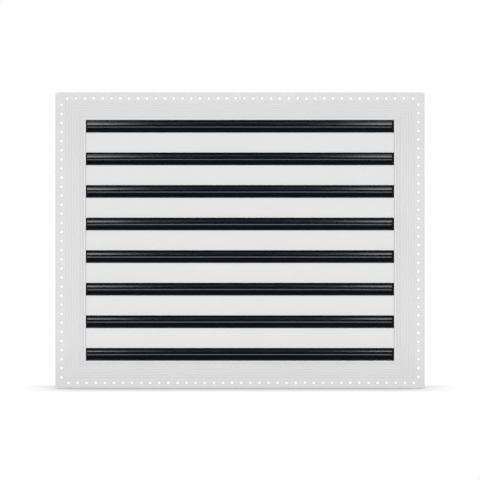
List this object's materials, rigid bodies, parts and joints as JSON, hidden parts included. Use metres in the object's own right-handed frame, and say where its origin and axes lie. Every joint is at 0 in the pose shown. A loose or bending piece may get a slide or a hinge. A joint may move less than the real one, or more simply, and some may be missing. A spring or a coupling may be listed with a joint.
{
  "type": "linear slot diffuser",
  "caption": "Plaster-in linear slot air diffuser: flat bars with pivoting black deflector blades between them, in a perforated, grooved flange with mitred corners.",
  "frame": {"origin": "centre of the flange's back plane, where the flange lies on the board", "axes": "+X along the slots, +Y into the wall or ceiling and away from the room, +Z across the slots"},
  "size_m": [0.555, 0.0551, 0.445],
  "materials": {
    "powder_coat": "pale satin powder coat",
    "black_enamel": "gloss black enamel",
    "black_nylon": "matt moulded black nylon",
    "galvanised_steel": "galvanised, dull",
    "zinc_screw": "bright zinc plate"
  },
  "bodies": {
    "diffuser_body": {"frame_top": "powder_coat", "frame_bottom": "powder_coat", "frame_left": "powder_coat", "frame_right": "powder_coat", "corner_key_top_left": "galvanised_steel", "corner_key_top_right": "galvanised_steel", "corner_key_bottom_left": "galvanised_steel", "corner_key_bottom_right": "galvanised_steel", "slot_bar_1": "powder_coat", "slot_bar_2": "powder_coat", "slot_bar_3": "powder_coat", "slot_bar_4": "powder_coat", "slot_bar_5": "powder_coat", "slot_bar_6": "powder_coat", "slot_bar_7": "powder_coat", "side_rail_top": "powder_coat", "side_rail_bottom": "powder_coat", "end_cap_left": "powder_coat", "end_cap_right": "powder_coat", "blade_stop_left": "black_nylon", "blade_stop_right": "black_nylon", "comb_1": "galvanised_steel", "comb_2": "galvanised_steel", "comb_3": "galvanised_steel", "comb_screw_top_1": "zinc_screw", "comb_screw_top_2": "zinc_screw", "comb_screw_top_3": "zinc_screw", "comb_screw_bottom_1": "zinc_screw", "comb_screw_bottom_2": "zinc_screw", "comb_screw_bottom_3": "zinc_screw", "core_screw_top_left": "zinc_screw", "core_screw_top_right": "zinc_screw", "core_screw_bottom_left": "zinc_screw", "core_screw_bottom_right": "zinc_screw"},
    "slot_1_upper_blade": {"slot_1_upper_blade": "black_enamel"},
    "slot_1_lower_blade": {"slot_1_lower_blade": "black_enamel"},
    "slot_2_upper_blade": {"slot_2_upper_blade": "black_enamel"},
    "slot_2_lower_blade": {"slot_2_lower_blade": "black_enamel"},
    "slot_3_upper_blade": {"slot_3_upper_blade": "black_enamel"},
    "slot_3_lower_blade": {"slot_3_lower_blade": "black_enamel"},
    "slot_4_upper_blade": {"slot_4_upper_blade": "black_enamel"},
    "slot_4_lower_blade": {"slot_4_lower_blade": "black_enamel"},
    "slot_5_upper_blade": {"slot_5_upper_blade": "black_enamel"},
    "slot_5_lower_blade": {"slot_5_lower_blade": "black_enamel"},
    "slot_6_upper_blade": {"slot_6_upper_blade": "black_enamel"},
    "slot_6_lower_blade": {"slot_6_lower_blade": "black_enamel"},
    "slot_7_upper_blade": {"slot_7_upper_blade": "black_enamel"},
    "slot_7_lower_blade": {"slot_7_lower_blade": "black_enamel"},
    "slot_8_upper_blade": {"slot_8_upper_blade": "black_enamel"},
    "slot_8_lower_blade": {"slot_8_lower_blade": "black_enamel"}
  },
  "joints": [
    {"name": "slot_1_upper_pivot", "type": "hinge", "parent": "diffuser_body", "child": "slot_1_upper_blade", "pos_m": [0, 0.0024, 0.1836], "axis": [1, 0, 0], "range_deg": [0, 80]},
    {"name": "slot_1_lower_pivot", "type": "hinge", "parent": "diffuser_body", "child": "slot_1_lower_blade", "pos_m": [0, 0.0024, 0.1594], "axis": [-1, 0, 0], "range_deg": [0, 80]},
    {"name": "slot_2_upper_pivot", "type": "hinge", "parent": "diffuser_body", "child": "slot_2_upper_blade", "pos_m": [0, 0.0024, 0.1346], "axis": [1, 0, 0], "range_deg": [0, 80]},
    {"name": "slot_2_lower_pivot", "type": "hinge", "parent": "diffuser_body", "child": "slot_2_lower_blade", "pos_m": [0, 0.0024, 0.1104], "axis": [-1, 0, 0], "range_deg": [0, 80]},
    {"name": "slot_3_upper_pivot", "type": "hinge", "parent": "diffuser_body", "child": "slot_3_upper_blade", "pos_m": [0, 0.0024, 0.0856], "axis": [1, 0, 0], "range_deg": [0, 80]},
    {"name": "slot_3_lower_pivot", "type": "hinge", "parent": "diffuser_body", "child": "slot_3_lower_blade", "pos_m": [0, 0.0024, 0.0614], "axis": [-1, 0, 0], "range_deg": [0, 80]},
    {"name": "slot_4_upper_pivot", "type": "hinge", "parent": "diffuser_body", "child": "slot_4_upper_blade", "pos_m": [0, 0.0024, 0.0366], "axis": [1, 0, 0], "range_deg": [0, 80]},
    {"name": "slot_4_lower_pivot", "type": "hinge", "parent": "diffuser_body", "child": "slot_4_lower_blade", "pos_m": [0, 0.0024, 0.0124], "axis": [-1, 0, 0], "range_deg": [0, 80]},
    {"name": "slot_5_upper_pivot", "type": "hinge", "parent": "diffuser_body", "child": "slot_5_upper_blade", "pos_m": [0, 0.0024, -0.0124], "axis": [1, 0, 0], "range_deg": [0, 80]},
    {"name": "slot_5_lower_pivot", "type": "hinge", "parent": "diffuser_body", "child": "slot_5_lower_blade", "pos_m": [0, 0.0024, -0.0366], "axis": [-1, 0, 0], "range_deg": [0, 80]},
    {"name": "slot_6_upper_pivot", "type": "hinge", "parent": "diffuser_body", "child": "slot_6_upper_blade", "pos_m": [0, 0.0024, -0.0614], "axis": [1, 0, 0], "range_deg": [0, 80]},
    {"name": "slot_6_lower_pivot", "type": "hinge", "parent": "diffuser_body", "child": "slot_6_lower_blade", "pos_m": [0, 0.0024, -0.0856], "axis": [-1, 0, 0], "range_deg": [0, 80]},
    {"name": "slot_7_upper_pivot", "type": "hinge", "parent": "diffuser_body", "child": "slot_7_upper_blade", "pos_m": [0, 0.0024, -0.1104], "axis": [1, 0, 0], "range_deg": [0, 80]},
    {"name": "slot_7_lower_pivot", "type": "hinge", "parent": "diffuser_body", "child": "slot_7_lower_blade", "pos_m": [0, 0.0024, -0.1346], "axis": [-1, 0, 0], "range_deg": [0, 80]},
    {"name": "slot_8_upper_pivot", "type": "hinge", "parent": "diffuser_body", "child": "slot_8_upper_blade", "pos_m": [0, 0.0024, -0.1594], "axis": [1, 0, 0], "range_deg": [0, 80]},
    {"name": "slot_8_lower_pivot", "type": "hinge", "parent": "diffuser_body", "child": "slot_8_lower_blade", "pos_m": [0, 0.0024, -0.1836], "axis": [-1, 0, 0], "range_deg": [0, 80]}
  ]
}
